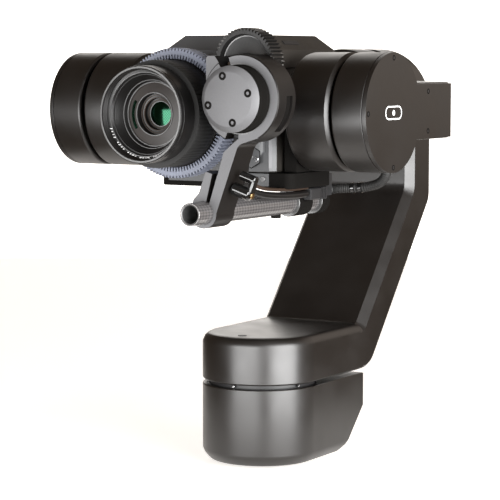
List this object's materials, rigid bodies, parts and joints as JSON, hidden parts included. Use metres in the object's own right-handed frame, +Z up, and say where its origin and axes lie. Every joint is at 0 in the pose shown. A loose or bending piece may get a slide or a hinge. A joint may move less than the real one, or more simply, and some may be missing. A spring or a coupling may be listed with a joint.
{
  "type": "three-axis camera gimbal stabilizer",
  "caption": "Three-axis motorised gimbal: pan base with a cranked arm, roll block and tilt yoke, carrying a box camera with a lens and a rod-mounted gear-driven follow focus.",
  "frame": {"origin": "on the pan axis at the underside of the base housing", "axes": "+Z up along the pan axis, the lens looks along -Y, +X is the side of the tilt motor"},
  "size_m": [0.252, 0.3535, 0.306],
  "materials": {
    "housing": "satin fine-grained dark brown-black coat on turned housings",
    "casting": "satin dark grey coat on castings",
    "satin_metal": "bead-blasted satin clear anodised",
    "steel": "machined",
    "copper_winding": "enamelled copper wire over laminations",
    "black_plastic": "black, lightly textured",
    "black_metal": "black anodised, fine turned lines",
    "gloss_black": "glossy black",
    "camera_paint": "textured mid-grey coat",
    "black_rubber": "ribbed matte rubber",
    "gear_plastic": "pale violet-grey moulded nylon",
    "lens_glass": "multi-coated glass with a green reflection",
    "carbon_tube": "woven carbon fibre tube, clear coat",
    "circuit_board": "green solder mask"
  },
  "bodies": {
    "base": {"base_housing": "casting", "base_plate": "black_plastic", "pan_stator": "copper_winding", "pan_bearing": "steel", "control_board": "circuit_board"},
    "pan_arm": {"arm_casting": "casting", "arm_rear_cover": "housing", "pan_rotor": "steel", "pan_shaft": "steel", "roll_stator": "copper_winding", "roll_bearing": "steel"},
    "yoke": {"yoke_block": "housing", "roll_rotor": "steel", "roll_shaft": "steel", "tilt_stator": "copper_winding", "yoke_arm_right": "housing", "yoke_arm_left": "housing", "tilt_cover_right": "housing", "tilt_cover_left": "housing", "tilt_bearing_right": "steel", "tilt_bearing_left": "steel"},
    "cradle": {"tilt_hub_right": "housing", "tilt_hub_left": "housing", "tilt_shaft_right": "steel", "tilt_shaft_left": "steel", "upright_right": "black_plastic", "upright_left": "black_plastic", "tilt_rotor": "steel", "cradle_plate": "black_plastic", "camera_body": "camera_paint", "camera_rear_panel": "black_plastic", "camera_front_plate": "camera_paint", "image_sensor": "circuit_board", "lens_mount_ring": "steel", "lens_barrel": "black_metal", "lens_front_tube": "black_metal", "lens_glass": "lens_glass", "gear_axle": "steel", "motor_body": "black_metal", "motor_cap": "satin_metal", "motor_bracket": "satin_metal", "clamp_jaw": "satin_metal", "jaw_screw_top": "steel", "jaw_screw_bottom": "black_plastic", "rod": "carbon_tube", "rod_ring_front": "housing", "rod_ring_rear": "housing", "connector_block": "black_plastic", "cable_plug": "black_plastic", "front_cable": "gloss_black", "rear_cable": "black_rubber"},
    "focus_ring_set": {"focus_ring": "black_rubber", "focus_gear_ring": "gear_plastic"},
    "drive_gear": {"drive_gear": "black_plastic"},
    "motor_pinion": {"motor_pinion": "steel"},
    "zoom_ring": {"zoom_ring": "black_rubber"},
    "clamp_lever": {"clamp_lever": "gloss_black"},
    "block_knob": {"block_knob": "black_plastic"},
    "side_button": {"side_button": "black_plastic"}
  },
  "joints": [
    {"name": "pan", "type": "hinge", "parent": "base", "child": "pan_arm", "pos_m": [0, 0, 0.0565], "axis": [0, 0, 1], "range_deg": [-180, 180]},
    {"name": "roll", "type": "hinge", "parent": "pan_arm", "child": "yoke", "pos_m": [0, 0.1505, 0.2505], "axis": [0, 1, 0], "range_deg": [-40, 40]},
    {"name": "tilt", "type": "hinge", "parent": "yoke", "child": "cradle", "pos_m": [0, -0.0432, 0.2505], "axis": [1, 0, 0], "range_deg": [-45, 90]},
    {"name": "focus", "type": "hinge", "parent": "cradle", "child": "focus_ring_set", "pos_m": [0.007, -0.12, 0.2505], "axis": [0, 1, 0], "range_deg": [-60, 60]},
    {"name": "drive_gear_spin", "type": "hinge", "parent": "cradle", "child": "drive_gear", "pos_m": [0.06131, -0.1215, 0.28365], "axis": [0, 1, 0], "range_deg": [-117, 117]},
    {"name": "pinion_spin", "type": "hinge", "parent": "cradle", "child": "motor_pinion", "pos_m": [0.07233, -0.1215, 0.26096], "axis": [0, 1, 0], "range_deg": [-701, 701]},
    {"name": "zoom", "type": "hinge", "parent": "cradle", "child": "zoom_ring", "pos_m": [0.007, -0.14, 0.2505], "axis": [0, 1, 0], "range_deg": [-45, 45]},
    {"name": "lever_turn", "type": "hinge", "parent": "cradle", "child": "clamp_lever", "pos_m": [0.06113, -0.1415, 0.20396], "axis": [0.9494, 0, -0.314], "range_deg": [0, 120]},
    {"name": "knob_turn", "type": "hinge", "parent": "cradle", "child": "block_knob", "pos_m": [0.048, -0.008, 0.2023], "axis": [0, 1, 0], "range_deg": [-180, 180]},
    {"name": "button_press", "type": "slide", "parent": "cradle", "child": "side_button", "axis": [0.7071, 0, 0.7071], "range_m": [-0.0008, 0], "stiffness_N_per_m": 200, "springref_m": 0.0005}
  ],
  "couplings": [
    {"joint": "drive_gear_spin", "follows": "focus", "ratio": -1.9444},
    {"joint": "pinion_spin", "follows": "focus", "ratio": 11.667}
  ]
}
